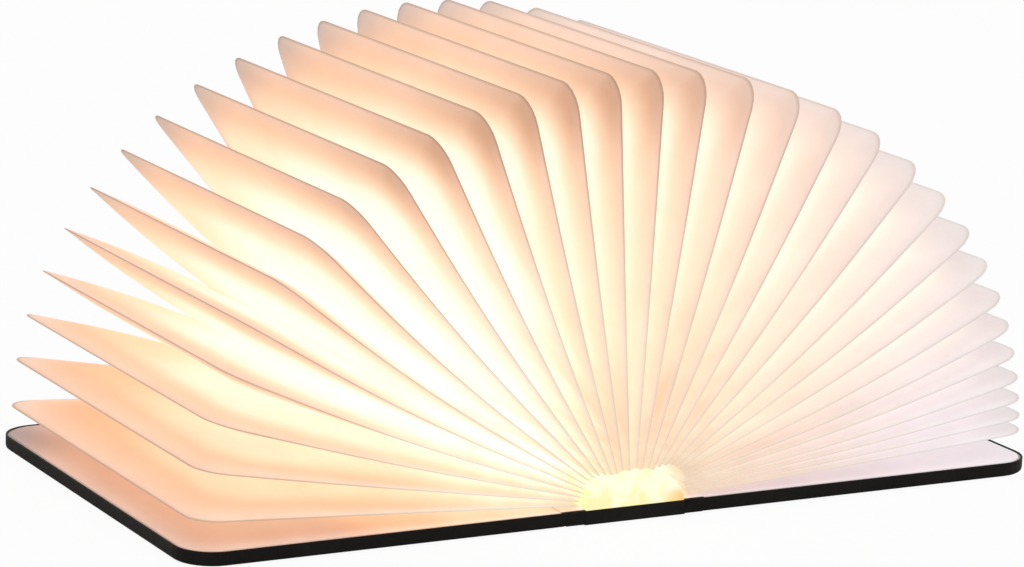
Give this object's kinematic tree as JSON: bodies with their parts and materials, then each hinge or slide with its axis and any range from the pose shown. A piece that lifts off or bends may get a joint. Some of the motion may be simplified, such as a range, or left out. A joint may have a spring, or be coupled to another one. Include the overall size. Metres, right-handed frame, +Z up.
{
  "type": "folding book lamp",
  "caption": "Book-shaped lamp whose hard covers hinge flat on a lit spine and fan out a pleated paper shade.",
  "frame": {"origin": "middle of the underside of the spine, on the surface that the open lamp lies on", "axes": "+Z up, Y along the spine, X across the open covers; -X is the left cover as seen from -Y"},
  "size_m": [0.246, 0.1254, 0.1136],
  "materials": {
    "cover_wrap": "near black, fine grain, satin",
    "cover_board": "plain grey board",
    "cover_lining": "smooth paper lining, matt",
    "page_paper": "translucent synthetic paper, soft matt, lit from inside",
    "hinge_cloth": "black ribbed book cloth",
    "magnet": "plated",
    "black_plastic": "moulded, fine texture",
    "light_cover": "milky translucent plastic, lit from inside",
    "led_chip": "yellow phosphor",
    "led_board_white": "white solder mask",
    "charge_board_green": "green solder mask",
    "battery_foil": "crimped foil pouch",
    "sink_metal": "mill finish",
    "socket_metal": "plated",
    "screw_steel": "zinc plated"
  },
  "bodies": {
    "spine": {"spine_tray": "black_plastic", "heat_sink": "sink_metal", "battery": "battery_foil", "led_board": "led_board_white", "led_chips": "led_chip", "charge_board": "charge_board_green", "usb_socket": "socket_metal", "hall_sensor": "black_plastic", "diffuser": "light_cover", "socket_block": "black_plastic", "board_screws": "screw_steel"},
    "left_cover": {"left_board": "cover_board", "left_wrap": "cover_wrap", "left_lining": "cover_lining", "left_magnets": "magnet", "left_hinge": "hinge_cloth", "left_strip": "cover_lining"},
    "right_cover": {"right_board": "cover_board", "right_wrap": "cover_wrap", "right_lining": "cover_lining", "right_magnets": "magnet", "right_hinge": "hinge_cloth", "right_strip": "cover_lining"},
    "page_01": {"page_01": "page_paper"},
    "page_02": {"page_02": "page_paper"},
    "page_03": {"page_03": "page_paper"},
    "page_04": {"page_04": "page_paper"},
    "page_05": {"page_05": "page_paper"},
    "page_06": {"page_06": "page_paper"},
    "page_07": {"page_07": "page_paper"},
    "page_08": {"page_08": "page_paper"},
    "page_09": {"page_09": "page_paper"},
    "page_10": {"page_10": "page_paper"},
    "page_11": {"page_11": "page_paper"},
    "page_12": {"page_12": "page_paper"},
    "page_13": {"page_13": "page_paper"},
    "page_14": {"page_14": "page_paper"},
    "page_15": {"page_15": "page_paper"},
    "page_16": {"page_16": "page_paper"},
    "page_17": {"page_17": "page_paper"},
    "page_18": {"page_18": "page_paper"},
    "page_19": {"page_19": "page_paper"},
    "page_20": {"page_20": "page_paper"},
    "page_21": {"page_21": "page_paper"},
    "page_22": {"page_22": "page_paper"},
    "page_23": {"page_23": "page_paper"},
    "page_24": {"page_24": "page_paper"},
    "page_25": {"page_25": "page_paper"},
    "page_26": {"page_26": "page_paper"},
    "page_27": {"page_27": "page_paper"},
    "page_28": {"page_28": "page_paper"},
    "page_29": {"page_29": "page_paper"},
    "page_30": {"page_30": "page_paper"},
    "page_31": {"page_31": "page_paper"}
  },
  "joints": [
    {"name": "left_cover_hinge", "type": "hinge", "parent": "spine", "child": "left_cover", "pos_m": [-0.015, 0, 0.0037], "axis": [0, 1, 0], "range_deg": [-95, 90], "deforming": ["left_hinge", "left_strip"]},
    {"name": "right_cover_hinge", "type": "hinge", "parent": "spine", "child": "right_cover", "pos_m": [0.015, 0, 0.0037], "axis": [0, -1, 0], "range_deg": [-95, 90], "deforming": ["right_hinge", "right_strip"]},
    {"name": "page_01_turn", "type": "hinge", "parent": "spine", "child": "page_01", "pos_m": [-0.015, 0, 0.0037], "axis": [0, 1, 0], "range_deg": [-91.68, 86.88], "deforming": ["page_01"]},
    {"name": "page_02_turn", "type": "hinge", "parent": "spine", "child": "page_02", "pos_m": [-0.015, 0, 0.0037], "axis": [0, 1, 0], "range_deg": [-85.35, 80.88], "deforming": ["page_02"]},
    {"name": "page_03_turn", "type": "hinge", "parent": "spine", "child": "page_03", "pos_m": [-0.015, 0, 0.0037], "axis": [0, 1, 0], "range_deg": [-79, 74.86], "deforming": ["page_03"]},
    {"name": "page_04_turn", "type": "hinge", "parent": "spine", "child": "page_04", "pos_m": [-0.015, 0, 0.0037], "axis": [0, 1, 0], "range_deg": [-72.59, 68.79], "deforming": ["page_04"]},
    {"name": "page_05_turn", "type": "hinge", "parent": "spine", "child": "page_05", "pos_m": [-0.015, 0, 0.0037], "axis": [0, 1, 0], "range_deg": [-66.09, 62.64], "deforming": ["page_05"]},
    {"name": "page_06_turn", "type": "hinge", "parent": "spine", "child": "page_06", "pos_m": [-0.015, 0, 0.0037], "axis": [0, 1, 0], "range_deg": [-59.48, 56.38], "deforming": ["page_06"]},
    {"name": "page_07_turn", "type": "hinge", "parent": "spine", "child": "page_07", "pos_m": [-0.015, 0, 0.0037], "axis": [0, 1, 0], "range_deg": [-52.74, 49.99], "deforming": ["page_07"]},
    {"name": "page_08_turn", "type": "hinge", "parent": "spine", "child": "page_08", "pos_m": [-0.015, 0, 0.0037], "axis": [0, 1, 0], "range_deg": [-45.85, 43.47], "deforming": ["page_08"]},
    {"name": "page_09_turn", "type": "hinge", "parent": "spine", "child": "page_09", "pos_m": [-0.015, 0, 0.0037], "axis": [0, 1, 0], "range_deg": [-38.83, 36.81], "deforming": ["page_09"]},
    {"name": "page_10_turn", "type": "hinge", "parent": "spine", "child": "page_10", "pos_m": [-0.015, 0, 0.0037], "axis": [0, 1, 0], "range_deg": [-31.69, 30.05], "deforming": ["page_10"]},
    {"name": "page_11_turn", "type": "hinge", "parent": "spine", "child": "page_11", "pos_m": [-0.015, 0, 0.0037], "axis": [0, 1, 0], "range_deg": [-24.46, 23.2], "deforming": ["page_11"]},
    {"name": "page_12_turn", "type": "hinge", "parent": "spine", "child": "page_12", "pos_m": [-0.015, 0, 0.0037], "axis": [0, 1, 0], "range_deg": [-17.96, 17.04], "deforming": ["page_12"]},
    {"name": "page_13_turn", "type": "hinge", "parent": "spine", "child": "page_13", "pos_m": [-0.015, 0, 0.0037], "axis": [0, 1, 0], "range_deg": [-11.46, 10.88], "deforming": ["page_13"]},
    {"name": "page_14_turn", "type": "hinge", "parent": "spine", "child": "page_14", "pos_m": [-0.015, 0, 0.0037], "axis": [0, 1, 0], "range_deg": [-4.98, 4.75], "deforming": ["page_14"]},
    {"name": "page_15_turn", "type": "hinge", "parent": "spine", "child": "page_15", "pos_m": [0.015, 0, 0.0037], "axis": [0, -1, 0], "range_deg": [-2.48, 2.38], "deforming": ["page_15"]},
    {"name": "page_16_turn", "type": "hinge", "parent": "spine", "child": "page_16", "pos_m": [0.015, 0, 0.0037], "axis": [0, -1, 0], "range_deg": [-9.04, 8.59], "deforming": ["page_16"]},
    {"name": "page_17_turn", "type": "hinge", "parent": "spine", "child": "page_17", "pos_m": [0.015, 0, 0.0037], "axis": [0, -1, 0], "range_deg": [-16.82, 15.96], "deforming": ["page_17"]},
    {"name": "page_18_turn", "type": "hinge", "parent": "spine", "child": "page_18", "pos_m": [0.015, 0, 0.0037], "axis": [0, -1, 0], "range_deg": [-24.61, 23.34], "deforming": ["page_18"]},
    {"name": "page_19_turn", "type": "hinge", "parent": "spine", "child": "page_19", "pos_m": [0.015, 0, 0.0037], "axis": [0, -1, 0], "range_deg": [-32.34, 30.66], "deforming": ["page_19"]},
    {"name": "page_20_turn", "type": "hinge", "parent": "spine", "child": "page_20", "pos_m": [0.015, 0, 0.0037], "axis": [0, -1, 0], "range_deg": [-39.97, 37.89], "deforming": ["page_20"]},
    {"name": "page_21_turn", "type": "hinge", "parent": "spine", "child": "page_21", "pos_m": [0.015, 0, 0.0037], "axis": [0, -1, 0], "range_deg": [-47.46, 44.99], "deforming": ["page_21"]},
    {"name": "page_22_turn", "type": "hinge", "parent": "spine", "child": "page_22", "pos_m": [0.015, 0, 0.0037], "axis": [0, -1, 0], "range_deg": [-54.8, 51.94], "deforming": ["page_22"]},
    {"name": "page_23_turn", "type": "hinge", "parent": "spine", "child": "page_23", "pos_m": [0.015, 0, 0.0037], "axis": [0, -1, 0], "range_deg": [-61.4, 58.19], "deforming": ["page_23"]},
    {"name": "page_24_turn", "type": "hinge", "parent": "spine", "child": "page_24", "pos_m": [0.015, 0, 0.0037], "axis": [0, -1, 0], "range_deg": [-67.3, 63.78], "deforming": ["page_24"]},
    {"name": "page_25_turn", "type": "hinge", "parent": "spine", "child": "page_25", "pos_m": [0.015, 0, 0.0037], "axis": [0, -1, 0], "range_deg": [-72.55, 68.76], "deforming": ["page_25"]},
    {"name": "page_26_turn", "type": "hinge", "parent": "spine", "child": "page_26", "pos_m": [0.015, 0, 0.0037], "axis": [0, -1, 0], "range_deg": [-77.17, 73.14], "deforming": ["page_26"]},
    {"name": "page_27_turn", "type": "hinge", "parent": "spine", "child": "page_27", "pos_m": [0.015, 0, 0.0037], "axis": [0, -1, 0], "range_deg": [-81.2, 76.95], "deforming": ["page_27"]},
    {"name": "page_28_turn", "type": "hinge", "parent": "spine", "child": "page_28", "pos_m": [0.015, 0, 0.0037], "axis": [0, -1, 0], "range_deg": [-84.65, 80.22], "deforming": ["page_28"]},
    {"name": "page_29_turn", "type": "hinge", "parent": "spine", "child": "page_29", "pos_m": [0.015, 0, 0.0037], "axis": [0, -1, 0], "range_deg": [-87.54, 82.96], "deforming": ["page_29"]},
    {"name": "page_30_turn", "type": "hinge", "parent": "spine", "child": "page_30", "pos_m": [0.015, 0, 0.0037], "axis": [0, -1, 0], "range_deg": [-89.86, 85.16], "deforming": ["page_30"]},
    {"name": "page_31_turn", "type": "hinge", "parent": "spine", "child": "page_31", "pos_m": [0.015, 0, 0.0037], "axis": [0, -1, 0], "range_deg": [-91.63, 86.83], "deforming": ["page_31"]}
  ],
  "couplings": [
    {"joint": "page_01_turn", "follows": "left_cover_hinge", "ratio": 0.95978},
    {"joint": "page_02_turn", "follows": "left_cover_hinge", "ratio": 0.89313},
    {"joint": "page_03_turn", "follows": "left_cover_hinge", "ratio": 0.82627},
    {"joint": "page_04_turn", "follows": "left_cover_hinge", "ratio": 0.75881},
    {"joint": "page_05_turn", "follows": "left_cover_hinge", "ratio": 0.69043},
    {"joint": "page_06_turn", "follows": "left_cover_hinge", "ratio": 0.62084},
    {"joint": "page_07_turn", "follows": "left_cover_hinge", "ratio": 0.54985},
    {"joint": "page_08_turn", "follows": "left_cover_hinge", "ratio": 0.47739},
    {"joint": "page_09_turn", "follows": "left_cover_hinge", "ratio": 0.40349},
    {"joint": "page_10_turn", "follows": "left_cover_hinge", "ratio": 0.32832},
    {"joint": "page_11_turn", "follows": "left_cover_hinge", "ratio": 0.25218},
    {"joint": "page_12_turn", "follows": "left_cover_hinge", "ratio": 0.1838},
    {"joint": "page_13_turn", "follows": "left_cover_hinge", "ratio": 0.11533},
    {"joint": "page_14_turn", "follows": "left_cover_hinge", "ratio": 0.04719},
    {"joint": "page_15_turn", "follows": "right_cover_hinge", "ratio": 0.02088},
    {"joint": "page_16_turn", "follows": "right_cover_hinge", "ratio": 0.08987},
    {"joint": "page_17_turn", "follows": "right_cover_hinge", "ratio": 0.1718},
    {"joint": "page_18_turn", "follows": "right_cover_hinge", "ratio": 0.25375},
    {"joint": "page_19_turn", "follows": "right_cover_hinge", "ratio": 0.33513},
    {"joint": "page_20_turn", "follows": "right_cover_hinge", "ratio": 0.41543},
    {"joint": "page_21_turn", "follows": "right_cover_hinge", "ratio": 0.49429},
    {"joint": "page_22_turn", "follows": "right_cover_hinge", "ratio": 0.57154},
    {"joint": "page_23_turn", "follows": "right_cover_hinge", "ratio": 0.64102},
    {"joint": "page_24_turn", "follows": "right_cover_hinge", "ratio": 0.70316},
    {"joint": "page_25_turn", "follows": "right_cover_hinge", "ratio": 0.7584},
    {"joint": "page_26_turn", "follows": "right_cover_hinge", "ratio": 0.80708},
    {"joint": "page_27_turn", "follows": "right_cover_hinge", "ratio": 0.84948},
    {"joint": "page_28_turn", "follows": "right_cover_hinge", "ratio": 0.88581},
    {"joint": "page_29_turn", "follows": "right_cover_hinge", "ratio": 0.91617},
    {"joint": "page_30_turn", "follows": "right_cover_hinge", "ratio": 0.94063},
    {"joint": "page_31_turn", "follows": "right_cover_hinge", "ratio": 0.95923}
  ]
}
